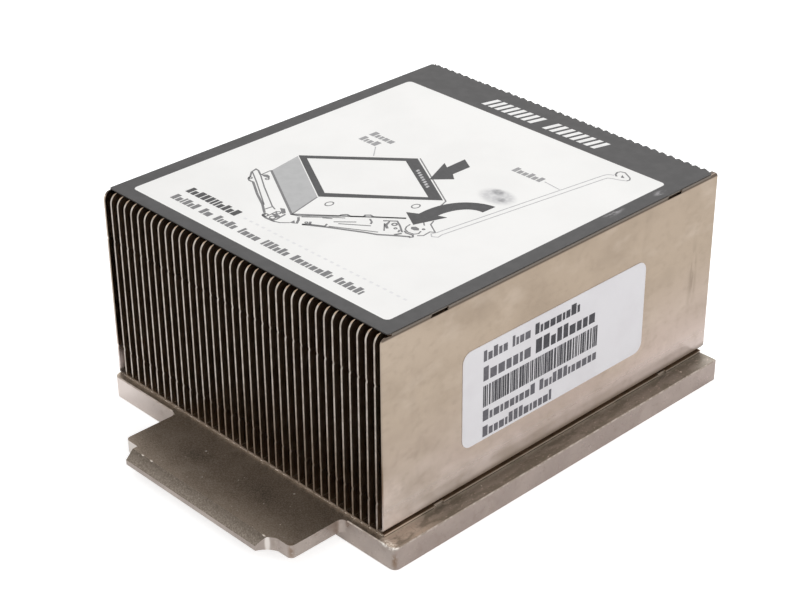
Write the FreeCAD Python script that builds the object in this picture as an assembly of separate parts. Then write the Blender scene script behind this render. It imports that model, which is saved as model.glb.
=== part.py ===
"""Passive CPU heatsink: folded, interlocked sheet fins soldered to a plated base with a retention tongue.

X runs across the fins, Y along the air channels and Z up. The tongue points to -Y.
The origin is the centre of the contact face, on the underside of the base plate.
"""
import FreeCAD, Part
import math
import os

V = FreeCAD.Vector

# ---- Driving dimensions, in millimetres ----------------------------------

# Fin stack
fin_count = 37             # folded fins, not counting the end fin that closes the stack
fin_pitch = 2.15
sheet = 0.4                # thickness of the fin sheet
fin_depth = 92.0           # along the air channel
fin_height = 41.8          # from the underside of the lower flange to the top of the upper one
fold_bevel = 0.4           # outside of each fold, which is sharp inside
front_corner_radius = 2.2  # upper front corner of each web
top_flange_front_relief = 2.4
top_flange_back_relief = 1.5

# Interlock between neighbouring fins, at two places along each fold
lock_front_inset = 14.1    # centre of the lock from the front edge of the fin
lock_back_inset = 12.7     # centre of the lock from the back edge of the fin
lock_width = 4.2
lock_height = 0.9
lock_reach = 1.0           # how far the window runs into the flange
lock_side_clearance = 0.3
lock_end_clearance = 0.2
last_lock_trim = 0.35      # the last fin's flanges are cut back at its locks
last_lower_lock_width = 2.4

# Dents that the stacking comb leaves in the front edge of each web
dent_half_height = 0.5
dent_rise = 0.16
dent_length = 3.6
lower_dent_height = 6.5
upper_dent_drop = 10.3     # below the top of the fin

# End fin, nested between the flanges of the last folded fin
end_upper_fold_radius = 0.6
end_lower_fold_radius = 1.3
end_flange_length = 1.5
end_front_corner_radius = 1.1
end_fin_recess = 0.1       # the end fin stands this far inside the flange tips
end_back_overhang = 0.9    # the end fin runs on behind the folded fins
end_back_chamfer = 0.9     # lower back corner of the end fin
end_window_height = 0.45   # windows in the end fin's folds, opposite the locks

# Solder between the lower flanges and the base plate
solder_thickness = 0.1
solder_inset = 0.3

# Base plate
base_thickness = 5.0
left_ledge = 0.2
right_ledge = 4.2
front_ledge = 1.45
back_ledge = 0.1
base_front_corner_radius = 1.5
base_back_corner_radius = 0.4
base_edge_chamfer = 0.2

# Retention tongue, one piece with the base plate
tongue_left_inset = 20.9   # from the left edge of the base plate
tongue_width = 49.1
tongue_thickness = 2.85
shoulder_reach = 12.6      # from the front edge of the base plate
lip_reach = 15.5
lip_left_step = 3.8        # the lip starts this far in from the left side of the tongue
lip_right_step = 3.5       # the flat of the right shoulder ends this far in from the right side
lip_notch_run = 3.05       # the notch beyond that shoulder, measured along the lip
lip_notch_bow = 0.45       # how far the notch bows in from a straight cut
shoulder_corner_radius = 1.1
tongue_root_radius = 1.3
lip_chamfer = 1.8

# Top label: a white film with a dark printed border and a plain diagram
label_film = 0.2
label_left_inset = 0.1
label_right_inset = 0.1
label_front_inset = 1.5
label_back_inset = 0.9
label_corner_radius = 0.5
print_film = 0.04
border_side = 3.4
border_front = 3.1
border_back = 10.4
field_corner_radius = 1.1
band_block_height = 4.2    # blank blocks along the wide border at the back
band_block_lean = 0.8

# Diagram on the top label: a block in slanted view over its frame, two arrows and a lever.
# Places are measured from the front left corner of the white field.
line_width = 0.3
block_near_x = 28.0        # near corner of the block's top face
block_near_y = 24.5
block_left_run = -15.9     # from the near corner to the left corner
block_left_rise = 8.5
block_right_run = 18.0     # from the near corner to the right corner
block_right_rise = 15.0
block_drop = 9.5
block_drop_shift = 2.0
block_rim = 0.06           # width of the block's dark rim, as a share of its sides
socket_drop = 2.2          # the frame under the block, below its lower edge
down_arrow_x = 38.0
down_arrow_tip_y = 44.4
down_arrow_length = 11.2
down_arrow_shaft = 3.0
down_arrow_head = 6.2
down_arrow_head_length = 4.4
sweep_radius = 8.6         # centre line of the curved arrow
sweep_width = 3.0
sweep_head = 6.8
sweep_head_length = 4.8
sweep_centre_x = 57.2
sweep_centre_y = 34.0
sweep_start_degrees = 96.0
sweep_end_degrees = 172.0
lever_foot_x = 55.9
lever_foot_y = 28.0
lever_top_x = 62.4
lever_back_gap = 3.1       # from the knob to the back edge of the field
lever_width = 1.0
lever_knob_radius = 1.7
caption_left_x = 14.0
caption_left_y = 47.4
caption_left_step = 3.0
caption_left_words = (6.8, 5.2)    # one above the other
caption_right_x = 46.8
caption_right_y = 58.9
caption_right_word = 7.4
text_bar_height = 1.5
text_line_step = 3.9
text_left = 8.5
text_rise = 2.9
text_gap = 1.1
heading_word = 15.0
text_words = (8.0, 3.6, 9.3, 8.8, 12.0, 7.0)

# Side label
side_label_film = 0.12
side_label_front_inset = 20.0   # from the front edge of the end fin
side_label_width = 51.5
side_label_height = 20.8
side_label_rise = 9.1           # lower edge above the underside of the fins
side_label_corner_radius = 2.2
side_text_inset = 5.4
side_text_height = 1.9
side_text_gap = 1.3
side_text_drops = (1.3, 5.2, 14.3, 17.6)   # tops of the text bars, below the label's top edge
side_words = ((8.0, 4.0, 12.8), (12.4, 17.2), (13.4, 5.0, 13.8), (5.0, 13.0))
stripe_drop = 8.8
stripe_height = 4.5
stripe_run = 31.8
stripe_pitch = 0.9

# ---- Derived places -------------------------------------------------------

stack_width = fin_count * fin_pitch
base_width = left_ledge + stack_width + right_ledge
base_depth = front_ledge + fin_depth + back_ledge
base_left = -base_width / 2
base_front = -base_depth / 2
stack_left = base_left + left_ledge
stack_right = stack_left + stack_width
fin_front = base_front + front_ledge
fin_floor = base_thickness + solder_thickness
fin_top = fin_floor + fin_height
lock_places = (lock_front_inset, fin_depth - lock_back_inset)
end_face = stack_right - end_fin_recess


def box(x0, x1, y0, y1, z0, z1):
    """A box between two opposite corners."""
    return Part.makeBox(x1 - x0, y1 - y0, z1 - z0, V(x0, y0, z0))


def arc(start, middle, end):
    return Part.Arc(start, middle, end).toShape()


def line(start, end):
    return Part.LineSegment(start, end).toShape()


def prism(edges, along):
    """Extrude the closed outline made by the edges."""
    wire = Part.Wire(Part.__sortEdges__(edges))
    return Part.Face(wire).extrude(along)


def outline_prism(corners, along):
    """Extrude the polygon with these corners."""
    return prism([line(a, b) for a, b in zip(corners, corners[1:] + corners[:1])], along)


def rounded_plate(x0, x1, y0, y1, z0, z1, radius):
    """An upright plate whose four vertical corners are rounded."""
    plate = box(x0, x1, y0, y1, z0, z1)
    uprights = [e for e in plate.Edges if abs(e.tangentAt(e.FirstParameter).z) > 0.99]
    return plate.makeFillet(radius, uprights)


# ---- Fins ------------------------------------------------------------------

def fold_edges(web_face, side, level, way, radius, rounded):
    """The two sides of one fold: outside an arc or a flat bevel, inside an arc, or sharp where it is tight."""
    edges = []
    for depth in (0, sheet):
        r = radius - depth
        if r <= 0:
            continue
        x = web_face + side * depth
        z = level + way * depth
        on_web = V(x, 0, z + way * r)
        on_flange = V(x + side * r, 0, z)
        middle = r * (1 - math.sqrt(0.5))
        between = V(x + side * middle, 0, z + way * middle)
        edges.append(arc(on_web, between, on_flange) if rounded else line(on_web, on_flange))
    return edges


def channel_outline(web_face, tip, floor, top, folds, rounded):
    """Edges of a C section in the XZ plane: a web at web_face and two flanges that reach to tip.

    folds holds the outer size of the lower and of the upper fold.
    """
    side = 1 if tip > web_face else -1
    inner_face = web_face + side * sheet
    edges = []
    outer_ends = []
    inner_ends = []
    for level, way, fold in ((floor, 1, folds[0]), (top, -1, folds[1])):
        inner = max(fold - sheet, 0)
        flange_face = level + way * sheet
        edges += fold_edges(web_face, side, level, way, fold, rounded)
        edges.append(line(V(web_face + side * fold, 0, level), V(tip, 0, level)))
        edges.append(line(V(tip, 0, level), V(tip, 0, flange_face)))
        edges.append(line(V(tip, 0, flange_face), V(inner_face + side * inner, 0, flange_face)))
        outer_ends.append(V(web_face, 0, level + way * fold))
        inner_ends.append(V(inner_face, 0, flange_face + way * inner))
    edges.append(line(*outer_ends))
    edges.append(line(*inner_ends))
    return edges


def web_corner_cutter(x0, x1, r):
    """What is cut off the upper front corner of a web to round it, with the fin's front edge at y = 0."""
    block = box(x0, x1, -1, r, fin_height - r, fin_height + 1)
    round_bar = Part.makeCylinder(r, x1 - x0, V(x0, r, fin_height - r), V(1, 0, 0))
    return block.cut(round_bar)


def dent(face, height):
    """A crimp that rises from the web at its front edge and fades out along it."""
    low = V(face, 0, height - dent_half_height)
    peak = V(face + dent_rise, 0, height)
    high = V(face, 0, height + dent_half_height)
    fade = V(face, dent_length, height)
    corners = (low, peak, high, fade)
    faces = [Part.Face(Part.makePolygon([p for p in corners if p is not skipped], True)) for skipped in corners]
    return Part.Solid(Part.makeShell(faces))


def folded_fin(last=False):
    """One folded fin, with the outer face of its web at x = 0 and its front edge at y = 0."""
    fin = prism(channel_outline(0, fin_pitch, 0, fin_height, (fold_bevel, fold_bevel), False), V(0, fin_depth, 0))
    fold_level = fin_height - fold_bevel
    fin = fin.cut(box(sheet, fin_pitch + 1, -1, top_flange_front_relief, fold_level, fin_height + 1))
    back_relief_start = fin_depth - top_flange_back_relief
    fin = fin.cut(box(sheet, fin_pitch + 1, back_relief_start, fin_depth + 1, fold_level, fin_height + 1))
    fin = fin.cut(web_corner_cutter(-1, sheet + 1, front_corner_radius))
    for place in lock_places:
        y0 = place - lock_width / 2
        y1 = place + lock_width / 2
        for z0, z1 in ((-1, lock_height), (fin_height - lock_height, fin_height + 1)):
            fin = fin.cut(box(-1, lock_reach, y0, y1, z0, z1))
        for z0, last_width in ((0, last_lower_lock_width), (fin_height - sheet, lock_width)):
            if last:
                fin = fin.cut(box(fin_pitch - last_lock_trim, fin_pitch + 1, place - last_width / 2,
                                  place + last_width / 2, z0 - 0.1, z0 + sheet + 0.1))
            else:
                tongue_tip = fin_pitch + lock_reach - lock_end_clearance
                fin = fin.fuse(box(fin_pitch - sheet, tongue_tip, y0 + lock_side_clearance,
                                   y1 - lock_side_clearance, z0, z0 + sheet))
    for height in (lower_dent_height, fin_height - upper_dent_drop):
        fin = fin.fuse(dent(sheet, height)).cut(dent(0, height))
    return fin.removeSplitter()


def end_fin():
    """The fin that closes the stack, folded the other way and nested between the last fin's flanges."""
    tip = end_face - end_flange_length
    floor = fin_floor + sheet
    top = fin_top - sheet
    depth = fin_depth + end_back_overhang
    folds = (end_lower_fold_radius, end_upper_fold_radius)
    fin = prism(channel_outline(end_face, tip, floor, top, folds, True), V(0, depth, 0))
    fold_level = top - end_upper_fold_radius
    fin = fin.cut(box(tip - 1, end_face - sheet, -1, top_flange_front_relief, fold_level, top + 1))
    corner = web_corner_cutter(end_face - sheet - 1, end_face + 1, end_front_corner_radius)
    corner.translate(V(0, 0, top - fin_height))
    fin = fin.cut(corner)
    lower = (floor - 1, floor + end_window_height, last_lower_lock_width)
    upper = (top - end_window_height, top + 1, lock_width)
    for place in lock_places:
        for z0, z1, width in (lower, upper):
            fin = fin.cut(box(end_face - end_upper_fold_radius, end_face + 1, place - width / 2,
                              place + width / 2, z0, z1))
    c = end_back_chamfer
    toe = [V(tip - 1, depth - c - 1, floor - 1), V(tip - 1, depth + 1, floor + c + 1),
           V(tip - 1, depth + 1, floor - 1)]
    fin = fin.cut(outline_prism(toe, V(end_face - tip + 2, 0, 0)))
    fin.translate(V(0, fin_front, 0))
    return fin.removeSplitter()


# ---- Base plate with its tongue ---------------------------------------------

def corner_arc(centre_x, centre_y, z, radius, from_degrees, to_degrees):
    """An arc in the XY plane between two directions seen from its centre."""
    points = []
    for degrees in (from_degrees, (from_degrees + to_degrees) / 2, to_degrees):
        a = math.radians(degrees)
        points.append(V(centre_x + radius * math.cos(a), centre_y + radius * math.sin(a), z))
    return arc(*points)


def tongue():
    """The retention tongue, from just inside the base plate to the lip, flush with the plate's top."""
    left = base_left + tongue_left_inset
    right = left + tongue_width
    inside = base_front + front_ledge
    shoulder = base_front - shoulder_reach
    lip = base_front - lip_reach
    z = base_thickness - tongue_thickness
    r = shoulder_corner_radius
    root = tongue_root_radius
    lip_left = left + lip_left_step
    notch_right = right - lip_right_step
    notch_left = notch_right - lip_notch_run
    notch_length = math.hypot(lip_notch_run, shoulder - lip)
    notch_middle = V((notch_left + notch_right) / 2 - lip_notch_bow * (shoulder - lip) / notch_length,
                     (lip + shoulder) / 2 + lip_notch_bow * lip_notch_run / notch_length, z)
    corners = [V(left - root, base_front, z), V(left - root, inside, z), V(right + root, inside, z),
               V(right + root, base_front, z)]
    edges = [line(a, b) for a, b in zip(corners, corners[1:])]
    edges += [
        corner_arc(right + root, base_front - root, z, root, 90, 180),
        line(V(right, base_front - root, z), V(right, shoulder + r, z)),
        corner_arc(right - r, shoulder + r, z, r, 0, -90),
        line(V(right - r, shoulder, z), V(notch_right, shoulder, z)),
        arc(V(notch_right, shoulder, z), notch_middle, V(notch_left, lip, z)),
        line(V(notch_left, lip, z), V(lip_left, lip, z)),
        line(V(lip_left, lip, z), V(lip_left, shoulder, z)),
        line(V(lip_left, shoulder, z), V(left + r, shoulder, z)),
        corner_arc(left + r, shoulder + r, z, r, 270, 180),
        line(V(left, shoulder + r, z), V(left, base_front - root, z)),
        corner_arc(left - root, base_front - root, z, root, 0, 90),
    ]
    plate = prism(edges, V(0, 0, tongue_thickness))
    c = lip_chamfer
    ramp = [V(left - 1, lip - 1, base_thickness - c - 1), V(left - 1, lip + c + 1, base_thickness + 1),
            V(left - 1, lip - 1, base_thickness + 1)]
    return plate.cut(outline_prism(ramp, V(tongue_width + 2, 0, 0)))


def base_plate():
    """The plate that meets the processor, with the tongue along its front."""
    plate = box(base_left, base_left + base_width, base_front, base_front + base_depth, 0, base_thickness)
    uprights = [e for e in plate.Edges if abs(e.tangentAt(e.FirstParameter).z) > 0.99]
    front = [e for e in uprights if e.CenterOfMass.y < 0]
    plate = plate.makeFillet(base_front_corner_radius, front)
    uprights = [e for e in plate.Edges if abs(e.tangentAt(e.FirstParameter).z) > 0.99 and e.CenterOfMass.y > 0]
    back = [e for e in uprights if e.CenterOfMass.y > base_front + base_depth - back_ledge]
    plate = plate.makeFillet(base_back_corner_radius, back)
    rims = [e for e in plate.Edges if e.BoundBox.ZLength < 0.01]
    plate = plate.makeChamfer(base_edge_chamfer, rims)
    return plate.fuse(tongue()).removeSplitter()


def solder_layer():
    """Solder under the whole fin stack, held back a little from its edges."""
    return box(stack_left + solder_inset, stack_right - solder_inset, fin_front + solder_inset,
               fin_front + fin_depth - solder_inset, base_thickness, fin_floor)


# ---- Labels -----------------------------------------------------------------

label_left = stack_left + label_left_inset
label_right = stack_right - label_right_inset
label_front = fin_front + label_front_inset
label_back = fin_front + fin_depth - label_back_inset
field_left = label_left + border_side
field_right = label_right - border_side
field_front = label_front + border_front
field_back = label_back - border_back
print_floor = fin_top + label_film


def flat_shape(points):
    """A printed shape on the top label, from its corners as (x, y) pairs measured from the field's corner."""
    corners = [V(field_left + x, field_front + y, print_floor) for x, y in points]
    return outline_prism(corners, V(0, 0, print_film))


def stroke(start, end, width=line_width):
    """A printed straight line between two (x, y) pairs."""
    run = end[0] - start[0]
    rise = end[1] - start[1]
    length = math.hypot(run, rise)
    dx = -rise / length * width / 2
    dy = run / length * width / 2
    return flat_shape([(start[0] + dx, start[1] + dy), (start[0] - dx, start[1] - dy),
                       (end[0] - dx, end[1] - dy), (end[0] + dx, end[1] + dy)])


def top_label():
    """The white film, stuck down on the upper flanges."""
    return rounded_plate(label_left, label_right, label_front, label_back, fin_top, print_floor,
                         label_corner_radius)


def top_label_border():
    """The dark border, wide at the back, with a row of blank white blocks left open in it."""
    top = print_floor + print_film
    border = rounded_plate(label_left, label_right, label_front, label_back, print_floor, top,
                           label_corner_radius)
    field = rounded_plate(field_left, field_right, field_front, field_back, print_floor - 1, top + 1,
                          field_corner_radius)
    border = border.cut(field)
    height = band_block_height
    y = field_back - field_front + (border_back - height) / 2
    x = (field_right - field_left) / 2 - 4.5 * height
    for length in (2.6, 1.5, 3.2):
        end = x + length * height
        border = border.cut(flat_shape([(x, y), (end, y), (end + band_block_lean, y + height),
                                        (x + band_block_lean, y + height)]))
        x = end + height / 2
    return border


def block_corners(inset=0.0):
    """Corners of the drawn block's top face, near, right, far and left, drawn in by a share of its sides."""
    to_left = (block_left_run, block_left_rise)
    to_right = (block_right_run, block_right_rise)
    corners = []
    for left_share, right_share in ((inset, inset), (inset, 1 - inset), (1 - inset, 1 - inset), (1 - inset, inset)):
        corners.append((block_near_x + left_share * to_left[0] + right_share * to_right[0],
                        block_near_y + left_share * to_left[1] + right_share * to_right[1]))
    return corners


def down_arrow():
    half = down_arrow_shaft / 2
    wide = down_arrow_head / 2
    x = down_arrow_x
    tip = down_arrow_tip_y
    neck = tip + down_arrow_head_length
    tail = tip + down_arrow_length
    return flat_shape([(x, tip), (x + wide, neck), (x + half, neck), (x + half, tail), (x - half, tail),
                       (x - half, neck), (x - wide, neck)])


def sweep_point(radius, degrees):
    a = math.radians(degrees)
    return (sweep_centre_x + radius * math.cos(a), sweep_centre_y + radius * math.sin(a))


def curved_arrow():
    """An arrow that bends round the foot of the lever, with its head at the end of the bend."""
    centre = (field_left + sweep_centre_x, field_front + sweep_centre_y)
    inner = sweep_radius - sweep_width / 2
    outer = sweep_radius + sweep_width / 2
    edges = []
    ends = []
    for radius in (inner, outer):
        edges.append(corner_arc(centre[0], centre[1], print_floor, radius, sweep_start_degrees, sweep_end_degrees))
        ends.append([sweep_point(radius, d) for d in (sweep_start_degrees, sweep_end_degrees)])
    for k in (0, 1):
        a, b = [V(field_left + e[k][0], field_front + e[k][1], print_floor) for e in ends]
        edges.append(line(a, b))
    band = prism(edges, V(0, 0, print_film))
    turn = math.degrees(sweep_head_length / sweep_radius)
    head = flat_shape([sweep_point(sweep_radius - sweep_head / 2, sweep_end_degrees),
                       sweep_point(sweep_radius, sweep_end_degrees + turn),
                       sweep_point(sweep_radius + sweep_head / 2, sweep_end_degrees)])
    return band.fuse(head).removeSplitter()


def text_bars(lengths, x, y):
    """Blank bars where words would stand."""
    bars = []
    for length in lengths:
        bars.append(flat_shape([(x, y), (x + length, y), (x + length, y + text_bar_height),
                                (x, y + text_bar_height)]))
        x += length + text_gap
    return bars


def top_label_drawing():
    """Dark print: the block's rim, the two arrows and blank text bars."""
    rim = flat_shape(block_corners()).cut(flat_shape(block_corners(block_rim)))
    shapes = [rim, down_arrow(), curved_arrow()]
    shapes += text_bars((heading_word,), text_left, text_rise + text_line_step)
    shapes += text_bars(text_words, text_left, text_rise)
    return Part.makeCompound(shapes)


def top_label_lines():
    """Grey print: the block's shaded end and outline, its frame, the lever and two captions."""
    near, right, far, left = block_corners()
    low_near, low_right, low_left = [(x + block_drop_shift, y - block_drop) for x, y in (near, right, left)]
    frame_near, frame_right, frame_left = [(x, y - socket_drop) for x, y in (low_near, low_right, low_left)]
    shapes = [flat_shape([near, left, low_left, low_near])]
    shapes.append(stroke(low_near, low_right))
    shapes.append(stroke(frame_left, frame_near))
    shapes.append(stroke(frame_near, frame_right))
    lever_top_y = field_back - field_front - lever_back_gap - 2 * lever_knob_radius
    dx = lever_top_x - lever_foot_x
    dy = lever_top_y - lever_foot_y
    length = math.hypot(dx, dy)
    for side in (-0.5, 0.5):
        shift_x = -dy / length * lever_width * side
        shift_y = dx / length * lever_width * side
        shapes.append(stroke((lever_foot_x + shift_x, lever_foot_y + shift_y),
                             (lever_top_x + shift_x, lever_top_y + shift_y)))
    knob_at = V(field_left + lever_top_x, field_front + lever_top_y + lever_knob_radius, print_floor)
    knob = Part.makeCylinder(lever_knob_radius, print_film, knob_at)
    shapes.append(knob.cut(Part.makeCylinder(lever_knob_radius - line_width, print_film, knob_at)))
    for line_number, word in enumerate(reversed(caption_left_words)):
        shapes += text_bars((word,), caption_left_x, caption_left_y + line_number * caption_left_step)
    shapes += text_bars((caption_right_word,), caption_right_x, caption_right_y)
    dark = top_label_drawing()
    return Part.makeCompound([shape.cut(dark) for shape in shapes])


side_front = fin_front + side_label_front_inset
side_floor = fin_floor + side_label_rise
side_top = side_floor + side_label_height
side_surface = end_face + side_label_film


def side_label():
    """The white part label on the end fin."""
    plate = box(end_face, side_surface, side_front, side_front + side_label_width, side_floor, side_top)
    corners = [e for e in plate.Edges if abs(e.tangentAt(e.FirstParameter).x) > 0.99]
    return plate.makeFillet(side_label_corner_radius, corners)


def side_bar(start, length, low, height):
    """A printed bar on the side label."""
    return box(side_surface, side_surface + print_film, start, start + length, low, low + height)


def side_label_print():
    """Blank text bars and a block of plain stripes that encodes nothing."""
    shapes = []
    start = side_front + side_text_inset
    for drop, lengths in zip(side_text_drops, side_words):
        y = start
        for length in lengths:
            shapes.append(side_bar(y, length, side_top - drop - side_text_height, side_text_height))
            y += length + side_text_gap
    low = side_top - stripe_drop - stripe_height
    for k in range(int(stripe_run / stripe_pitch)):
        width = stripe_pitch * (0.3 + 0.2 * ((k * k + k // 3) % 3))
        shapes.append(side_bar(start + k * stripe_pitch, width, low, stripe_height))
    return Part.makeCompound(shapes)


# ---- Write every piece ---------------------------------------------------------

def write(name, shape):
    shape.exportStep("parts/" + name + ".step")


os.makedirs("parts", exist_ok=True)
write("base_plate", base_plate())
write("solder_layer", solder_layer())
regular = folded_fin()
for number in range(1, fin_count + 1):
    fin_shape = folded_fin(last=True) if number == fin_count else regular.copy()
    fin_shape.translate(V(stack_left + (number - 1) * fin_pitch, fin_front, fin_floor))
    write("fin_%02d" % number, fin_shape)
write("end_fin", end_fin())
write("top_label", top_label())
write("top_label_border", top_label_border())
write("top_label_drawing", top_label_drawing())
write("top_label_lines", top_label_lines())
write("side_label", side_label())
write("side_label_print", side_label_print())
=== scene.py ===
"""Looks for the passive server CPU heatsink: metals, printed labels, wear, light and camera.

Lengths are in millimetres, in the frame of the CAD model, up to where metres() turns them over. The floor,
the lamps and the camera are placed in metres.
"""
import math
import random

import bmesh
import bpy
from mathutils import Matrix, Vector

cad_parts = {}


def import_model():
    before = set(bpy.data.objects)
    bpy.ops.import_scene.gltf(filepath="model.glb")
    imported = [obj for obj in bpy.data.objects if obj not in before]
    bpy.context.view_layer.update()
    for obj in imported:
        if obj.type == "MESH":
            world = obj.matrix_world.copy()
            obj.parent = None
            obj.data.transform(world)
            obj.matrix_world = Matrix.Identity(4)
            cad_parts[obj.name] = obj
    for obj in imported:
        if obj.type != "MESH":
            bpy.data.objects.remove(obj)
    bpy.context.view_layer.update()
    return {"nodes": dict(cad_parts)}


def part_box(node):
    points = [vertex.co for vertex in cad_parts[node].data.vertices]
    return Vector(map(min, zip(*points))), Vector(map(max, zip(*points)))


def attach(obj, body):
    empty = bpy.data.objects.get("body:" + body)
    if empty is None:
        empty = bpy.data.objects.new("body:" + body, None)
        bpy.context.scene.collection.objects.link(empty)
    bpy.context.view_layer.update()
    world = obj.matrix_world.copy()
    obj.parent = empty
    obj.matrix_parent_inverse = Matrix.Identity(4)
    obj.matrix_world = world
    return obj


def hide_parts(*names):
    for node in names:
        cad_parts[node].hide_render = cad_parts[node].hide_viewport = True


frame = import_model()
nodes = frame["nodes"]


def box_mm(node):
    """Lowest and highest corners of a CAD node, in millimetres."""
    low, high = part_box(node)
    return Vector(low) * 1000, Vector(high) * 1000


def metres(v):
    return Vector(v) / 1000


base_low, base_high = box_mm("base_plate")
fins_low, fins_high = box_mm("fin_01")
plate_low, plate_high = box_mm("end_fin")
label_low, label_high = box_mm("top_label")
tag_low, tag_high = box_mm("side_label")
tongue_left = base_low.x + 20.9
lip_depth = 1.85
fin_nodes = sorted(name for name in nodes if name.startswith("fin_"))

# The top label's white field, inside its dark border
border_side = 3.4
border_front = 3.1
border_back = 10.4
field_width = label_high.x - label_low.x - 2 * border_side
field_depth = label_high.y - label_low.y - border_front - border_back
# How far print stands above its film; where prints overlap, each takes its own share of it
print_height = 0.04


# ---- Node helpers -------------------------------------------------------------

class Surface:
    """A material with one Principled shader, and short ways to add the nodes that feed it."""

    def __init__(self, name, metallic=0.0, roughness=0.5, specular=0.5):
        self.material = bpy.data.materials.new(name)
        self.material.use_nodes = True
        self.tree = self.material.node_tree
        self.shader = self.tree.nodes["Principled BSDF"]
        self.set(Metallic=metallic, Roughness=roughness, Specular_IOR_Level=specular)
        place = self.node("TexCoord").outputs["Object"]
        self.mm = self.node("VectorMath", {0: place, "Scale": 1000.0}, operation="SCALE").outputs[0]
        self.x, self.y, self.z = self.node("SeparateXYZ", {0: self.mm}).outputs
        normal = self.node("NewGeometry").outputs["Normal"]
        self.facing_x, self.facing_y, self.facing_z = self.node("SeparateXYZ", {0: normal}).outputs

    def node(self, kind, inputs=None, **settings):
        n = self.tree.nodes.new("ShaderNode" + kind)
        for key, value in settings.items():
            setattr(n, key, value)
        for key, value in (inputs or {}).items():
            self.put(n.inputs[key], value)
        return n

    def put(self, socket, value):
        if isinstance(value, bpy.types.NodeSocket):
            self.tree.links.new(value, socket)
        elif hasattr(socket.default_value, "__len__") and len(socket.default_value) == 4:
            socket.default_value = (*value, 1.0)
        else:
            socket.default_value = value

    def set(self, **sockets):
        for name, value in sockets.items():
            self.put(self.shader.inputs[name.replace("_", " ")], value)

    def math(self, operation, a, b=0.0):
        return self.node("Math", {0: a, 1: b}, operation=operation).outputs[0]

    def times(self, *values):
        product = values[0]
        for value in values[1:]:
            product = self.math("MULTIPLY", product, value)
        return product

    def noise(self, size, detail=3.0, stretch=(1, 1, 1), seed=0.0):
        """Noise with features about size mm wide, which grow longer along an axis whose stretch is small."""
        place = self.node("Mapping", {0: self.mm, "Scale": stretch, "Location": (seed, seed, seed)})
        wave = self.node("TexNoise", {"Vector": place.outputs[0], "Scale": 1.0 / size, "Detail": detail})
        return wave.outputs["Fac"]

    def ramp(self, value, low, high, out_low=0.0, out_high=1.0):
        """Maps low..high smoothly to out_low..out_high and holds it beyond; high may be less than low."""
        limits = {"Value": value, "From Min": low, "From Max": high, "To Min": out_low, "To Max": out_high}
        return self.node("MapRange", limits, interpolation_type="SMOOTHSTEP").outputs[0]

    def near(self, centre, size, hard=0.0):
        """1 at the centre of an oval patch, fading to 0 at its rim; size holds the half widths in mm."""
        shift = self.node("VectorMath", {0: self.mm, 1: centre}, operation="SUBTRACT").outputs[0]
        share = self.node("VectorMath", {0: shift, 1: size}, operation="DIVIDE").outputs[0]
        reach = self.node("VectorMath", {0: share}, operation="LENGTH").outputs["Value"]
        return self.ramp(reach, hard, 1.0, 1.0, 0.0)

    def mix(self, share, a, b):
        """Colour a where share is 0, and b where it is 1."""
        n = self.node("Mix", data_type="RGBA")
        for index, value in ((0, share), (6, a), (7, b)):
            self.put(n.inputs[index], value)
        return n.outputs[2]

    def cloud(self, tone, colour, size, detail, low, high, share=1.0, **place):
        """Tone with patches of a colour, from none where the noise is at low to this share of it at high."""
        patches = self.ramp(self.noise(size, detail, **place), low, high, 0.0, share)
        return self.mix(patches, tone, colour)

    def bump(self, height, strength, distance=0.0002):
        relief = self.node("Bump", {"Height": height, "Strength": strength, "Distance": distance})
        self.set(Normal=relief.outputs[0])


def shade(r, g, b):
    """Linear light for a colour given as display values from 0 to 255."""
    return tuple(((c / 255 + 0.055) / 1.055) ** 2.4 for c in (r, g, b))


def dress(surface, *names):
    """Put this surface on CAD nodes."""
    for name in names:
        for slot in nodes[name].material_slots:
            slot.material = surface.material


# ---- Metals -------------------------------------------------------------------

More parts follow.
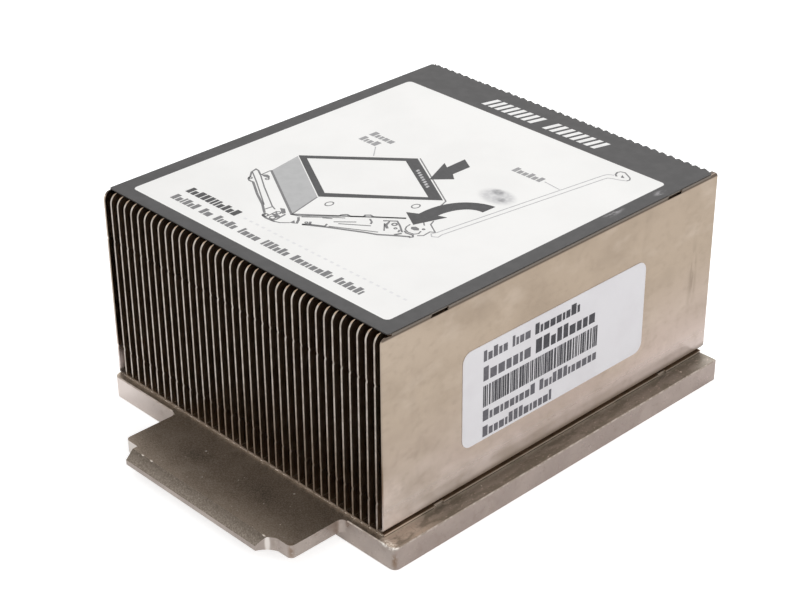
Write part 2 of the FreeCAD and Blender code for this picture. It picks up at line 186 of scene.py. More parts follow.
def base_metal():
    """Nickel plating, speckled and stained brown on its upper faces and rubbed bright along its edges, with
    painted light, shade, reflections and a highlight on some faces.
    """
    s = Surface("base_nickel", metallic=1.0)
    upper = s.ramp(s.facing_z, 0.3, 0.6)
    flat = s.ramp(s.facing_z, 0.75, 0.95)
    side = s.cloud(shade(180, 168, 161), shade(197, 185, 177), 9.0, 4, 0.35, 0.65)
    side = s.cloud(side, shade(158, 142, 130), 2.5, 5, 0.56, 0.72, 0.4, seed=7)
    side = s.cloud(side, shade(222, 212, 204), 0.4, 3, 0.60, 0.74, 0.3, seed=3)
    side = s.cloud(side, shade(132, 117, 105), 0.6, 3, 0.62, 0.74, 0.4, seed=31)
    top = s.cloud(shade(138, 125, 112), shade(150, 137, 124), 11.0, 3, 0.35, 0.65, seed=5)
    # Painted reflection: the tongue's top turns paler over its last few millimetres towards the front
    top = s.mix(s.ramp(s.y, base_low.y + 8.0, base_low.y + 1.8, 0, 0.7), top, shade(164, 150, 136))
    top = s.cloud(top, shade(112, 99, 87), 5.0, 3, 0.46, 0.66, 0.35, seed=61)
    for x, y, reach in ((53.4, 10.3, 9.0), (35.0, 9.1, 7.0)):
        dull = s.near((base_low.x + x, base_low.y + y, base_high.z), (reach, 0.45 * reach, 2.0))
        top = s.mix(s.times(dull, 0.5), top, shade(92, 82, 72))
    near_ledge = s.ramp(s.y, fins_low.y + 4.0, fins_low.y + 14.0, 1.0, 0.0)
    far_ledge = s.ramp(s.y, 10.0, 40.0)
    ledge = s.mix(near_ledge, shade(148, 139, 129), shade(200, 186, 173))
    ledge = s.mix(far_ledge, ledge, shade(140, 132, 123))
    ledge = s.cloud(ledge, shade(122, 115, 103), 1.6, 5, 0.46, 0.60, 0.7, stretch=(1, 0.35, 1), seed=71)
    ledge = s.cloud(ledge, shade(196, 180, 168), 0.5, 4, 0.58, 0.70, 0.5, stretch=(1, 0.5, 1), seed=73)
    top = s.cloud(top, shade(196, 182, 166), 0.24, 1, 0.42, 0.62, 0.35, seed=11)
    top = s.mix(s.ramp(s.x, plate_high.x - 0.3, plate_high.x), top, ledge)
    top = s.cloud(top, shade(104, 91, 80), 0.45, 2, 0.56, 0.72, 0.4, seed=13)
    top = s.cloud(top, shade(250, 240, 228), 0.7, 1, 0.74, 0.80, 0.8, seed=53)
    # The lip goes on in the tongue's tone and turns paler towards its front edge
    lip = s.cloud(shade(96, 87, 78), shade(112, 102, 92), 0.4, 3, 0.4, 0.6, seed=17)
    pale_lip = s.cloud(shade(118, 108, 98), shade(142, 132, 121), 0.3, 3, 0.42, 0.62, seed=18)
    lip = s.mix(s.ramp(s.y, base_low.y + lip_depth + 0.05, base_low.y), lip, pale_lip)
    lip = s.cloud(lip, shade(186, 175, 163), 0.35, 2, 0.54, 0.70, 0.22, seed=27)
    lip = s.cloud(lip, shade(78, 70, 62), 0.6, 2, 0.54, 0.70, 0.22, seed=33)
    on_lip = s.ramp(s.y, base_low.y + lip_depth - 0.1, base_low.y + lip_depth + 0.1, 1.0, 0.0)
    rim = s.cloud(shade(158, 145, 134), shade(184, 172, 162), 0.9, 4, 0.45, 0.6, seed=19)
    # Painted shade: the base's side faces that look along +x, near its right end, are darkened
    right_face_shade = s.times(s.ramp(s.facing_x, 0.6, 0.9, 0, 0.4), s.ramp(s.x, plate_high.x, base_high.x - 1.0))
    side = s.mix(right_face_shade, side, shade(164, 147, 140))
    # Painted light: the side faces turn much paler towards the base's left end
    corner = s.ramp(s.x, base_low.x + 20.0, base_low.x + 3.0, 0, 0.95)
    side = s.mix(corner, side, shade(232, 221, 215))
    # Painted reflection: a pale patch on the small front facet beside the tongue's left side
    step = s.near((tongue_left + 1.9, base_low.y + 2.9, 3.6), (3.0, 1.0, 3.0), 0.7)
    side = s.mix(step, side, shade(236, 228, 221))
    # Painted highlight: a bright vertical streak on the curved wall of the notch at the tongue's front
    groove_highlight = s.near((tongue_left + 43.8, base_low.y + 1.9, 3.6), (0.7, 0.7, 3.0), 0.4)
    side = s.mix(groove_highlight, side, shade(250, 242, 236))
    tone = s.mix(upper, side, s.mix(on_lip, rim, lip))
    tone = s.mix(flat, tone, top)
    # Small bright spots along the lip's ridge
    for x, reach in ((27.9, 0.5), (30.6, 0.6), (63.9, 0.6), (65.2, 0.5)):
        ridge_spot = s.near((base_low.x + x, base_low.y + lip_depth, base_high.z), (reach, 0.22, 0.5), 0.3)
        tone = s.mix(ridge_spot, tone, shade(236, 226, 214))
    for x, y in ((58.1, 14.2), (35.4, 11.4)):
        nick = s.near((base_low.x + x, base_low.y + y, base_high.z), (0.3, 0.3, 0.5), 0.3)
        tone = s.mix(nick, tone, shade(250, 244, 236))
    for spot in ((base_high.x - 0.5, fins_low.y - 1.0, 2.0), (base_low.x + 69.5, base_low.y + 3.4, 3.6)):
        stain = s.times(s.near(spot, (0.9, 0.9, 2.8)), s.ramp(s.noise(0.8, 3, seed=41), 0.35, 0.5))
        tone = s.mix(s.times(stain, 0.8), tone, shade(134, 106, 82))
    worn = s.near((base_high.x - 2.0, fins_low.y - 0.9, base_high.z), (3.0, 1.4, 0.9), 0.3)
    tone = s.mix(s.times(worn, s.ramp(s.noise(0.5, 3, seed=23), 0.4, 0.6)), tone, shade(250, 245, 236))
    # Its sides are glossier than its flat top
    on_side = s.ramp(s.facing_z, 0.75, 0.95, 1.0, 0.0)
    side_gloss = s.times(s.ramp(s.noise(1.8, 4, seed=29), 0.3, 0.7, 0.27, 0.38), on_side)
    s.set(Base_Color=tone, Roughness=s.math("ADD", side_gloss, s.times(flat, 0.43)))
    s.bump(s.noise(0.25, 2), 0.05)
    return s


def fin_sheet():
    """Plated sheet, dull inside the channels and bright on the sheared edges."""
    s = Surface("fin_metal", metallic=1.0, roughness=0.32)
    web = s.cloud(shade(166, 145, 124), shade(186, 165, 144), 4.0, 3, 0.3, 0.7)
    edge = s.cloud(shade(176, 166, 156), shade(206, 197, 188), 1.1, 3, 0.35, 0.65, seed=5)
    front = s.ramp(s.math("ABSOLUTE", s.facing_y), 0.6, 0.8)
    tone = s.mix(front, web, edge)
    # Painted shade: the fold tops that face +x, just under the label, are darkened
    tip = s.times(s.ramp(s.z, fins_high.z - 0.7, fins_high.z - 0.4), s.ramp(s.facing_x, 0.5, 0.8))
    tone = s.mix(tip, tone, shade(126, 118, 110))
    foot = s.times(s.ramp(s.z, fins_low.z + 0.8, fins_low.z + 0.4), s.ramp(s.facing_x, 0.5, 0.8))
    s.set(Base_Color=s.mix(foot, tone, shade(216, 206, 196)))
    return s


def end_sheet():
    """The two outer walls: smooth tan plating, faintly clouded, pinker towards its foot, where painted light
    also makes it paler.

    Low down the plating is made less of a mirror; a painted dark reflection runs in a band along the base,
    and painted shade darkens the seam at the base and the fold under the label.
    """
    s = Surface("end_fin_metal", metallic=1.0)
    tone = s.mix(s.ramp(s.z, 7.0, 32.0), shade(202, 184, 174), shade(188, 170, 151))
    tone = s.mix(s.ramp(s.y, plate_low.y, 0.0, 0.4, 0.0), tone, shade(205, 189, 172))
    # Painted light: the wall's lower part is made paler, most towards the front
    foot = s.times(s.ramp(s.z, 7.5, 14.0, 1.0, 0.0), s.ramp(s.y, -35.0, 0.0, 1.0, 0.25))
    tone = s.mix(foot, tone, shade(255, 240, 235))
    # Painted light: a further pale patch low down near the wall's front end
    front_foot_light = s.near((plate_high.x, plate_low.y + 6.0, 10.0), (4.0, 16.0, 11.0))
    tone = s.mix(s.times(front_foot_light, 0.5), tone, shade(255, 242, 234))
    tone = s.cloud(tone, shade(168, 151, 133), 13.0, 5, 0.42, 0.70, 0.65, stretch=(1, 0.6, 1))
    tone = s.cloud(tone, shade(208, 192, 176), 5.0, 5, 0.50, 0.75, 0.5, stretch=(1, 0.45, 1), seed=4)
    tone = s.cloud(tone, shade(156, 139, 122), 1.4, 5, 0.46, 0.80, 0.25, stretch=(1, 0.7, 1), seed=9)
    tone = s.cloud(tone, shade(150, 134, 118), 7.0, 4, 0.55, 0.75, 0.25, stretch=(1, 1, 0.3), seed=12)
    smear = s.near((plate_high.x, plate_high.y - 5.8, 26.0), (2.0, 1.6, 11.0), 0.1)
    streaks = s.ramp(s.noise(1.2, 3, stretch=(1, 1, 0.2), seed=15), 0.4, 0.6, 0, 0.5)
    tone = s.mix(s.times(smear, streaks), tone, shade(138, 122, 106))
    # Painted reflection: a dark band just above the seam, stronger towards the back
    band = s.ramp(s.z, plate_low.z + 2.2, plate_low.z + 0.9)
    band = s.times(band, s.ramp(s.y, plate_low.y + 4.0, -20.0, 0.2, 0.75))
    tone = s.mix(band, tone, shade(134, 120, 107))
    # Painted shade: the seam along the base is darkened
    seam = s.ramp(s.z, plate_low.z + 0.9, plate_low.z + 0.3, 0, 0.9)
    tone = s.mix(seam, tone, shade(104, 92, 82))
    # Painted shade: the top fold under the label is darkened
    tone = s.mix(s.ramp(s.z, plate_high.z - 0.7, plate_high.z - 0.35), tone, shade(110, 98, 88))
    s.set(Base_Color=tone, Roughness=s.ramp(s.noise(6.0, 3, seed=2), 0.3, 0.7, 0.17, 0.24),
          Metallic=s.ramp(s.z, 7.5, 12.5, 0.35, 1.0))
    s.bump(s.noise(0.9, 3, stretch=(1, 0.12, 1)), 0.04)
    return s


def solder():
    """Dull solder between the fins and the base."""
    s = Surface("solder", metallic=1.0, roughness=0.4)
    s.set(Base_Color=s.mix(s.noise(1.0), shade(150, 145, 140), shade(190, 185, 178)))
    return s


# ---- Films and print ------------------------------------------------------------

def top_film():
    """White film whose cut edge is dark, with one greasy thumb mark beside the lever."""
    s = Surface("label_white", roughness=0.42, specular=0.4)
    tone = s.cloud(shade(240, 239, 237), shade(236, 235, 233), 14.0, 3, 0.35, 0.7)
    x = label_low.x + border_side + 52.9
    y = label_low.y + border_front + 48.4
    z = label_high.z
    whorl = s.ramp(s.noise(1.0, 4, seed=6), 0.3, 0.6, 0.6, 1.0)
    mark = s.times(s.near((x, y, z), (4.9, 3.6, 4.0), 0.5), whorl)
    tone = s.mix(mark, tone, shade(196, 195, 196))
    for dx, dy, width, depth in ((-1.2, 1.5, 1.9, 1.5), (1.5, -0.5, 1.5, 1.1)):
        core = s.times(s.near((x + dx, y + dy, z), (width, depth, 4.0), 0.3), whorl)
        tone = s.mix(core, tone, shade(146, 145, 147))
    tone = s.mix(s.ramp(s.facing_z, 0.3, 0.6), shade(58, 56, 56), tone)
    s.set(Base_Color=tone)
    return s


def border_ink():
    """Dark border print with two pale scuffs along its right side."""
    s = Surface("border_ink", specular=0.35)
    tone = s.cloud(shade(46, 44, 44), shade(56, 54, 54), 2.5, 4, 0.35, 0.7)
    rubbed = s.ramp(s.noise(0.9, 4, stretch=(1, 0.4, 1), seed=8), 0.42, 0.6)
    for inset, place, reach in ((2.5, 27.5, 3.8), (1.8, 14.4, 2.2)):
        scuff = s.near((label_high.x - inset, label_high.y - place, label_high.z), (1.1, reach, 2.0), 0.2)
        tone = s.mix(s.times(scuff, rubbed, 0.8), tone, shade(150, 147, 149))
    s.set(Base_Color=tone)
    return s


def film(name, colour, other, size=3.0, gloss=0.5):
    """A printed or plain film that wanders between two close colours."""
    s = Surface(name, specular=gloss)
    s.set(Base_Color=s.cloud(shade(*colour), shade(*other), size, 4, 0.35, 0.7))
    return s


dress(base_metal(), "base_plate")
dress(fin_sheet(), *fin_nodes[1:])
dress(end_sheet(), "end_fin", fin_nodes[0])
dress(solder(), "solder_layer")
dress(top_film(), "top_label")
dress(film("print_black", (60, 58, 58), (70, 68, 68), 2.0), "top_label_border")
dress(film("print_dark", (66, 65, 66), (74, 73, 74), 1.0), "top_label_drawing")
dress(film("print_grey", (165, 165, 166), (178, 178, 178), 1.0), "top_label_lines")
dress(film("side_label_white", (229, 227, 230), (223, 220, 223), 9.0), "side_label")
dress(film("side_print_black", (72, 71, 76), (84, 83, 88), 1.0), "side_label_print")


# ---- Printed shapes ---------------------------------------------------------------

class Print:
    """Flat shapes printed on a label, gathered into one thin mesh.

    Shapes are given in millimetres along the two axes across and up, from the origin, and stand from low
    to high above the label's surface.
    """

    def __init__(self, origin, across, up, high, low=0.0):
        self.origin, self.across, self.up = Vector(origin), Vector(across), Vector(up)
        self.out = self.across.cross(self.up)
        self.low, self.high = low, high
        self.mesh = bmesh.new()

    def verts(self, points, height):
        return [self.mesh.verts.new(metres(self.origin + self.across * x + self.up * y + self.out * height))
                for x, y in points]

    def shape(self, points):
        """A filled shape with this outline."""
        below = self.verts(points, self.low)
        above = self.verts(points, self.high)
        self.mesh.faces.new(below)
        self.mesh.faces.new(above)
        self.walls(below, above)

    def ring(self, outer, inner):
        """The band between two closed outlines of equally many points."""
        outer_low, inner_low = self.verts(outer, self.low), self.verts(inner, self.low)
        outer_high, inner_high = self.verts(outer, self.high), self.verts(inner, self.high)
        self.walls(outer_low, outer_high)
        self.walls(inner_low, inner_high)
        self.walls(outer_low, inner_low)
        self.walls(outer_high, inner_high)

    def walls(self, a, b):
        for k in range(len(a)):
            self.mesh.faces.new((a[k - 1], a[k], b[k], b[k - 1]))

    def stroke(self, points, width):
        """A line of even width through the points."""
        points = [Vector(p) for p in points]
        sides = ([], [])
        for k, p in enumerate(points):
            before = points[k - 1] if k else p
            after = points[k + 1] if k < len(points) - 1 else p
            run_in, run_out = [(v.normalized() if v.length else None) for v in (p - before, after - p)]
            run = ((run_in or run_out) + (run_out or run_in)).normalized()
            reach = width / 2 / max(run.dot(run_in or run_out), 0.5)
            shift = Vector((-run.y, run.x)) * reach
            sides[0].append(p + shift)
            sides[1].append(p - shift)
        self.shape(sides[0] + sides[1][::-1])

    def bar(self, x, y, length, height, lean=0.0):
        self.shape([(x, y), (x + length, y), (x + length + lean, y + height), (x + lean, y + height)])

    def loop(self, x, y, radius, width, squeeze=1.0, steps=14):
        """A printed ring, narrowed across by squeeze."""
        turns = [2 * math.pi * k / steps for k in range(steps)]
        outer, inner = [[(x + r * squeeze * math.cos(a), y + r * math.sin(a)) for a in turns]
                        for r in (radius, radius - width)]
        self.ring(outer, inner)

    def word(self, x, y, length, height, rng):
        """A row of plain blocks as long as a word, in the place of lettering; it spells nothing."""
        count = max(2, round(length / (0.62 * height)))
        shares = [rng.choice((0.7, 1.0, 1.0, 1.2)) for _ in range(count)]
        step = length / sum(shares)
        for k, share in enumerate(shares):
            tall = height * (1.0 if k == 0 else rng.choice((0.7, 0.7, 0.7, 1.0)))
            self.bar(x, y, share * step - 0.15 * height, tall)
            x += share * step

    def piece(self, name, surface, slot, *replaced):
        """Finish the mesh as a piece that moves with the heatsink."""
        bmesh.ops.recalc_face_normals(self.mesh, faces=self.mesh.faces)
        data = bpy.data.meshes.new(name)
        self.mesh.to_mesh(data)
        self.mesh.free()
        data.materials.append(surface.material)
        thing = bpy.data.objects.new(name, data)
        bpy.context.scene.collection.objects.link(thing)
        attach(thing, "root")
        if replaced:
            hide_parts(*replaced)


def round_box(x0, x1, y0, y1, radius, steps=6):
    """Outline of a rectangle with rounded corners."""
    points = []
    for turn, (cx, cy) in enumerate(((x1, y1), (x0, y1), (x0, y0), (x1, y0))):
        cx += radius if cx == x0 else -radius
        cy += radius if cy == y0 else -radius
        for k in range(steps + 1):
            a = math.radians(90 * (turn + k / steps))
            points.append((cx + radius * math.cos(a), cy + radius * math.sin(a)))
    return points


def curve(a, b, c, d, steps=12):
    """Points along the cubic curve from a to d that b and c pull at."""
    points = []
    for k in range(steps + 1):
        t = k / steps
        weights = ((1 - t) ** 3, 3 * t * (1 - t) ** 2, 3 * t * t * (1 - t), t ** 3)
        points.append(tuple(sum(w * p[i] for w, p in zip(weights, (a, b, c, d))) for i in (0, 1)))
    return points


def on_field(high, low=0.0):
    """A print on the top label, measured from the front left corner of its white field."""
    corner = (label_low.x + border_side, label_low.y + border_front, label_high.z)
    return Print(corner, (1, 0, 0), (0, 1, 0), high, low)


def border_print():
    """The dark border with its teeth of film over the fins' back ends, and white bars on its wide part."""
    label_radius, field_radius = 0.5, 1.1
    ink = on_field(0.5 * print_height)
    edge = round_box(-border_side, field_width + border_side, -border_front, field_depth + border_back,
                     label_radius)
    ink.ring(edge, round_box(0, field_width, 0, field_depth, field_radius))
    # The teeth, one to a fin, reach most of the way to the fins' ends
    tooth_left, tooth_right = 0.8, 1.1
    tip_left, tip_right, tip_slant = 0.5, 0.1, 0.15
    ink.low = label_low.z - label_high.z
    back = label_high.y - label_low.y - border_front
    to_fin_ends = fins_high.y - label_high.y
    rng = random.Random(3)
    for name in fin_nodes[1:]:
        web = box_mm(name)[0].x - label_low.x - border_side
        reach = back + to_fin_ends * rng.uniform(0.55, 0.8)
        tip = [(web + tip_right, reach - tip_slant), (web - tip_left, reach)]
        ink.shape([(web + tooth_right, back), *tip, (web - tooth_left, back)])
    ink.piece("label_border_print", border_ink(), "print_black", "top_label_border")
    bars, bar_step, bar_width, bar_height, bar_lean = 8, 1.9, 1.15, 4.0, 1.1
    bar_foot = field_depth + 2.3
    marks = on_field(print_height, 0.5 * print_height)
    for start in (field_width / 2 - 16.6, field_width / 2 + 1.0):
        for k in range(bars):
            marks.bar(start + bar_step * k, bar_foot, bar_width, bar_height, bar_lean)
    marks.piece("label_band_marks", film("band_ink", (238, 237, 236), (228, 227, 226), 2.0), "label_white")


def dark_print():
    """The drawn block's rim, both arrows and the bold row of blocks under the picture."""
    ink = on_field(0.75 * print_height)
    left, far, right, near = (11.6, 33.2), (29.7, 49.4), (46.6, 39.7), (28.4, 23.6)
    ink.ring([left, far, right, near], [(13.8, 33.5), (28.8, 46.9), (43.7, 38.6), (28.1, 25.5)])
    ink.shape([(36.7, 55.9), (39.9, 54.1), (39.8, 49.3), (41.6, 47.9),
               (38.2, 44.3), (35.0, 51.8), (36.8, 50.7)])
    outside = curve((55.7, 44.9), (50.7, 44.2), (46.7, 39.6), (47.4, 32.4))
    inside = curve((50.5, 34.4), (50.5, 37.8), (52.3, 41.6), (55.6, 41.5))
    ink.shape(outside + [(45.2, 31.1), (49.9, 28.4), (52.3, 35.1)] + inside)
    rng = random.Random(8)
    ink.word(8.3, 6.6, 15.2, 2.2, rng)
    surface = film("drawing_ink", (50, 49, 50), (60, 59, 60), 1.0, gloss=0.3)
    ink.piece("label_drawing_print", surface, "print_dark", "top_label_drawing")
    mark_step, mark_width, mark_height, mark_lean = (0.93, -0.53), 0.55, 0.9, -0.2
    marks = on_field(print_height, 0.75 * print_height)
    for k in range(8):
        marks.bar(33.6 + k * mark_step[0], 45.0 + k * mark_step[1], mark_width, mark_height, mark_lean)
    marks.piece("label_rim_marks", film("rim_ink", (176, 175, 176), (190, 189, 190), 1.0), "label_white")


def grey_print():
    """The block's outline, its frame and latch, the lever's pivot and grip, captions and a row of blocks."""
    ink = on_field(0.6 * print_height)
    fine, firm, heavy = 0.27, 0.37, 0.5
    outline = [(13.0, 24.7), (30.4, 14.9), (47.0, 29.3)]
    ink.stroke(outline, heavy)
    ink.stroke([(28.4, 23.3), (30.4, 15.1)], fine)
    ink.stroke([(30.0, 49.8), (47.3, 39.8), (48.0, 37.6)], fine)
    for x, y in ((32.2, 23.0), (44.7, 34.2)):
        ink.loop(x, y, 1.1, 0.3, 0.75)
    # The frame's left rail, with its end cap and post
    ink.stroke([(13.1, 21.8), (11.3, 22.8), (10.4, 22.9), (10.8, 21.4),
                (12.2, 19.9), (12.7, 19.0), (13.4, 18.6), (14.5, 18.7)], firm)
    ink.stroke([(14.5, 18.7), (19.2, 15.8), (23.2, 13.7), (26.3, 11.6)], heavy)
    ink.stroke([(11.0, 21.5), (15.1, 19.1), (23.6, 13.8)], fine)
    ink.stroke([(13.1, 21.8), (17.8, 18.8), (25.2, 14.5), (26.6, 14.0)], fine)
    ink.shape([(13.1, 22.0), (14.0, 22.9), (14.9, 22.7), (15.6, 22.0), (14.9, 22.1), (14.1, 21.8)])
    ink.loop(15.4, 21.6, 0.5, fine)
    ink.loop(12.7, 19.5, 0.5, fine)
    ink.stroke([(13.0, 24.4), (13.1, 22.0)], fine)
    # Its near corner
    ink.shape([(26.9, 15.0), (27.8, 15.5), (29.3, 14.4), (29.0, 13.7)])
    ink.shape([(27.6, 12.2), (28.3, 13.0), (29.6, 12.8), (29.6, 11.9)])
    for x, y, r in ((28.2, 13.5, 0.6), (27.1, 11.1, 0.7), (28.9, 11.4, 0.7)):
        ink.loop(x, y, r, 0.28)
    ink.stroke([(25.4, 14.3), (25.2, 12.7)], fine)
    ink.stroke([(27.5, 13.7), (27.7, 11.3)], fine)
    ink.stroke([(29.6, 14.0), (30.0, 11.4), (29.5, 10.5)], firm)
    ink.stroke([(26.6, 11.6), (27.0, 10.7), (28.1, 10.4), (30.4, 10.6)], heavy)
    ink.stroke([(30.4, 10.6), (31.5, 11.0), (32.8, 12.3)], fine)
    # The front rail
    ink.stroke([(30.4, 14.8), (31.9, 15.4), (37.4, 20.8), (37.3, 21.5), (38.0, 22.4), (39.1, 22.3),
                (40.9, 24.0), (40.6, 24.7), (41.3, 25.4), (42.2, 25.3), (47.1, 29.3)], firm)
    ink.stroke([(32.6, 15.5), (37.5, 20.1), (38.8, 21.1)], fine)
    ink.stroke([(42.4, 24.2), (43.6, 23.6), (44.0, 22.9)], firm)
    ink.stroke([(32.3, 15.0), (33.2, 14.2), (34.0, 13.0)], heavy)
    ink.shape([(32.7, 13.6), (33.8, 12.8), (32.8, 12.3)])
    ink.stroke([(35.3, 15.4), (35.9, 14.7), (35.0, 13.5)], heavy)
    ink.loop(35.0, 14.6, 0.4, fine)
    ink.stroke([(35.9, 14.5), (38.6, 16.1), (38.2, 17.0)], firm)
    ink.stroke([(35.0, 13.5), (39.1, 16.1), (42.4, 17.9), (46.0, 19.9),
                (48.0, 20.8), (50.5, 22.8), (53.0, 24.6)], heavy)
    for start, end in (((39.1, 16.6), (47.4, 21.6)), ((35.7, 18.1), (37.3, 19.2)),
                       ((38.4, 18.5), (41.5, 21.5)), ((39.6, 18.6), (44.6, 22.4))):
        ink.stroke([start, end], fine)
    # The latch
    ink.stroke([(44.7, 25.5), (46.7, 27.3), (48.5, 26.3), (50.6, 24.8)], firm)
    ink.stroke([(45.6, 25.0), (47.8, 22.8)], fine)
    ink.shape([(45.6, 26.3), (46.0, 26.1), (46.6, 24.8), (47.7, 24.1), (47.4, 23.7), (46.1, 24.4)])
    ink.loop(47.3, 26.0, 0.65, 0.35)
    ink.loop(48.6, 25.0, 0.4, fine)
    ink.stroke([(49.6, 25.1), (50.1, 24.3)], firm)
    ink.stroke([(50.9, 24.4), (50.3, 23.0)], heavy)
    # The lever's pivot and bracket
    ink.shape([(50.3, 27.5), (50.8, 28.2), (51.8, 28.1), (52.3, 27.6), (51.7, 27.0), (50.8, 26.9)])
    ink.stroke([(49.4, 28.1), (49.6, 26.9), (50.2, 26.0), (51.4, 25.6),
                (52.7, 25.8), (53.2, 26.6), (52.8, 27.6)], fine)
    ink.loop(52.6, 28.5, 0.35, fine)
    ink.stroke([(50.5, 25.5), (51.4, 25.1), (52.9, 25.4), (53.4, 24.9), (53.0, 24.2)], firm)
    ink.stroke([(50.5, 30.6), (51.6, 29.7)], fine)
    ink.stroke([(51.5, 32.3), (52.2, 30.8), (55.0, 29.2), (54.2, 28.6), (54.4, 26.7), (53.6, 25.8)], fine)
    # The lever's grip
    ink.stroke([(62.3, 73.3), (62.6, 74.0), (63.5, 74.3), (65.8, 73.1), (66.3, 72.4), (66.1, 71.6)], fine)
    ink.stroke([(62.3, 73.3), (62.7, 72.3), (63.4, 71.8)], firm)
    ink.shape([(63.8, 73.1), (65.0, 72.3), (64.3, 72.0)])
    rng = random.Random(15)
    captions = on_field(0.6 * print_height)
    for x, y, length in ((14.3, 50.3, 6.8), (14.3, 47.3, 5.2), (46.8, 58.9, 7.8)):
        captions.word(x, y, length, 2.0, rng)
    caption_ink = film("caption_ink", (140, 139, 140), (150, 149, 150), 0.8)
    captions.piece("label_captions", caption_ink, "print_grey")
    at, word_gap = 8.3, 1.1
    for length in (7.6, 3.2, 6.2, 5.6, 7.2, 10.8, 7.2):
        ink.word(at, 2.8, length, 2.1, rng)
        at += length + word_gap
    line_ink = film("line_ink", (98, 97, 98), (112, 111, 112), 0.8)
    ink.piece("label_line_print", line_ink, "print_grey", "top_label_lines")


def pale_print():
    """Everything printed in pale grey: the block's end, the lever, the leaders and a dotted rule."""
    end = on_field(0.3 * print_height)
    end.shape([(11.7, 32.9), (28.4, 23.3), (30.3, 15.2), (13.1, 24.7)])
    end.piece("label_block_end", film("end_ink", (176, 176, 176), (170, 170, 170), 1.5), "print_grey")
    ink = on_field(0.4 * print_height)
    fine = 0.24
    left_bend = curve((61.3, 70.4), (61.4, 71.2), (61.9, 71.6), (62.7, 71.8), 4)
    right_bend = curve((62.6, 69.9), (63.1, 70.6), (64.1, 70.4), (66.1, 71.6), 4)
    for line in ([(55.3, 29.4), (61.0, 68.6), *left_bend], [(56.6, 29.4), (62.4, 69.0), *right_bend],
                 [(55.3, 29.4), (54.9, 28.2), (55.8, 27.5), (56.8, 28.2), (56.6, 29.4)],
                 [(55.0, 59.8), (59.4, 59.3)], [(19.6, 47.2), (22.5, 43.9)]):
        ink.stroke(line, fine)
    ink.piece("label_pale_print", film("pale_ink", (174, 173, 174), (188, 187, 188), 1.0), "print_grey")
    dots = on_field(0.4 * print_height)
    at, dot_step, dot_length, dot_height = 25.2, 1.75, 0.8, 0.5
    while at < field_width - 2:
        dots.bar(at, 7.2, dot_length, dot_height)
        at += dot_step
    dots.piece("label_dotted_rule", film("dot_ink", (222, 221, 222), (228, 227, 228), 1.0), "print_grey")


def tag_print():
    """Blocks and stripes on the side label, which spell and encode nothing."""
    height = tag_high.z - tag_low.z
    left = 5.4
    rng = random.Random(21)

    def on_tag():
        return Print((tag_high.x, tag_low.y, tag_low.z), (0, 1, 0), (0, 0, 1), print_height)

    bold, plain = on_tag(), on_tag()
    # Each row's foot below the label's top, its height and its words
    rows = ((3.7, 2.3, ((plain, 6.7), (plain, 5.2), (bold, 12.9))),
            (7.9, 3.0, ((plain, 13.2), (bold, 17.3))),
            (16.7, 2.3, ((plain, 14.6), (plain, 16.7))),
            (20.2, 2.3, ((plain, 19.4),)))
    word_gap = 1.0
    for drop, tall, words in rows:
        at = left
        for ink, length in words:
            ink.word(at, height - drop, length, tall, rng)
            at += length + word_gap
    stripes_drop, stripes_height, stripes_length = 13.6, 4.6, 32.0
    at = left
    while at < left + stripes_length:
        width = rng.choice((0.24, 0.24, 0.4, 0.56))
        bold.bar(at, height - stripes_drop, width, stripes_height)
        at += width + rng.choice((0.14, 0.16, 0.2, 0.34))
    bold_ink = film("tag_ink", (60, 59, 64), (74, 73, 78), 1.0, gloss=0.3)
    bold.piece("side_label_marks", bold_ink, "side_print_black", "side_label_print")
    plain_ink = film("tag_pale_ink", (88, 86, 92), (100, 98, 104), 1.0)
    plain.piece("side_label_plain_marks", plain_ink, "side_print_black")


def solder_line():
    """The uneven fillet of solder along the foot of the fins' front edges, fuller at each fin."""
    mesh = bmesh.new()
    rng = random.Random(5)
    # Where a fin's sections lie across it, and how far the fillet reaches there
    spans = ((0.25, 0.15), (1.0, 0.07), (1.7, 0.07))
    behind_edge, below_base_top, steepness, arc_steps = 0.05, 0.02, 1.2, 4
    turns = [math.radians(90 * k / arc_steps) for k in range(arc_steps + 1)]
    sections = []
    for name in fin_nodes:
        low = box_mm(name)[0]
        for across, reach in spans:
            size = reach * rng.uniform(0.8, 1.2)
            corner = Vector((low.x + across, low.y + behind_edge, base_high.z - below_base_top))
            arc = [corner + Vector((0, -size * math.sin(a), steepness * size * math.cos(a))) for a in turns]
            sections.append([mesh.verts.new(metres(p)) for p in [corner] + arc])
    count = len(sections[0])
    for a, b in zip(sections, sections[1:]):
        for k in range(count):
            mesh.faces.new((a[k - 1], a[k], b[k], b[k - 1])).smooth = k > 1
    mesh.faces.new(sections[0])
    mesh.faces.new(sections[-1])
    bmesh.ops.recalc_face_normals(mesh, faces=mesh.faces)
    data = bpy.data.meshes.new("solder_line")
    mesh.to_mesh(data)
    mesh.free()
    s = Surface("solder_fillet", metallic=1.0, roughness=0.32)
    s.set(Base_Color=s.cloud(shade(146, 131, 116), shade(220, 208, 196), 0.5, 3, 0.45, 0.65))
    data.materials.append(s.material)
    line = bpy.data.objects.new("solder_line", data)
    bpy.context.scene.collection.objects.link(line)
    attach(line, "root")


solder_line()
border_print()
dark_print()
grey_print()
pale_print()
tag_print()


# ---- Floor, light and camera ------------------------------------------------------

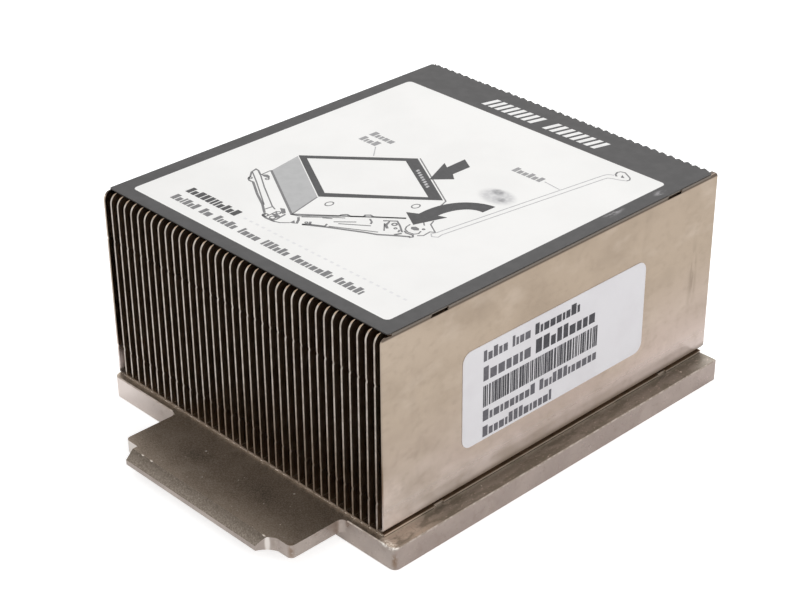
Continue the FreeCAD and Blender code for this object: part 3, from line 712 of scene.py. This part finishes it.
def floor():
    """A pale floor that glows to the camera up to white, less so in gloss, and keeps the object's shadow."""
    width = 6.0
    below_base = 0.00002  # Keeps it clear of the base's underside
    seen_glow, gloss_glow = 0.66, 0.25
    bpy.ops.mesh.primitive_plane_add(size=width, location=(0, 0, -below_base))
    plane = bpy.context.object
    plane.name = "floor"
    s = Surface("floor", roughness=0.9, specular=0.0)
    s.set(Base_Color=shade(225, 225, 225))
    path = s.node("LightPath")
    to_camera = s.times(path.outputs["Is Camera Ray"], seen_glow)
    to_gloss = s.times(path.outputs["Is Glossy Ray"], gloss_glow)
    strength = s.math("ADD", to_camera, to_gloss)
    glow = s.node("Emission", {"Color": (1, 1, 1), "Strength": strength})
    both = s.node("AddShader", {0: s.shader.outputs[0], 1: glow.outputs[0]})
    s.tree.links.new(both.outputs[0], s.tree.nodes["Material Output"].inputs["Surface"])
    plane.data.materials.append(s.material)


def world():
    """Even light from all round, which the camera and gloss see as white."""
    light, seen_as = 0.55, 1.0
    scene = bpy.context.scene
    scene.world = scene.world or bpy.data.worlds.new("world")
    scene.world.use_nodes = True
    tree = scene.world.node_tree
    back = tree.nodes["Background"]
    back.inputs["Color"].default_value = (1, 1, 1, 1)
    path = tree.nodes.new("ShaderNodeLightPath")
    seen = tree.nodes.new("ShaderNodeMath")
    seen.operation = "MAXIMUM"
    tree.links.new(path.outputs["Is Camera Ray"], seen.inputs[0])
    tree.links.new(path.outputs["Is Glossy Ray"], seen.inputs[1])
    strength = tree.nodes.new("ShaderNodeMapRange")
    tree.links.new(seen.outputs[0], strength.inputs["Value"])
    strength.inputs["To Min"].default_value = light
    strength.inputs["To Max"].default_value = seen_as
    tree.links.new(strength.outputs[0], back.inputs["Strength"])


def lamp(name, place, aim, size, power):
    """A soft rectangular lamp that points at aim."""
    data = bpy.data.lights.new(name, "AREA")
    data.shape = "RECTANGLE"
    data.size, data.size_y = size
    data.energy = power
    lamp_object = bpy.data.objects.new(name, data)
    bpy.context.scene.collection.objects.link(lamp_object)
    lamp_object.location = place
    lamp_object.rotation_euler = (Vector(aim) - Vector(place)).to_track_quat("-Z", "Y").to_euler()


def camera():
    """The photo's view, fitted to the straight edges of the fins, base and labels."""
    down, turned = math.radians(29.82), math.radians(45.39)
    data = bpy.data.cameras.new("camera")
    data.lens = 84.95
    data.sensor_width = 36.0
    data.shift_x = -0.0309
    data.shift_y = -0.0032
    data.clip_start = 0.01
    eye = bpy.data.objects.new("camera", data)
    bpy.context.scene.collection.objects.link(eye)
    eye.location = (0.2393, -0.23385, 0.2120)
    eye.rotation_euler = (math.radians(90) - down, 0, turned)
    bpy.context.scene.camera = eye


floor()
world()
lamp("key", place=(-0.22, 0.30, 0.55), aim=(0, 0, 0.04), size=(0.5, 0.5), power=1.9)
lamp("side", place=(0.75, -0.2, 0.35), aim=(0, 0, 0.03), size=(0.6, 0.5), power=2.4)
camera()
bpy.context.scene.view_settings.view_transform = "Standard"
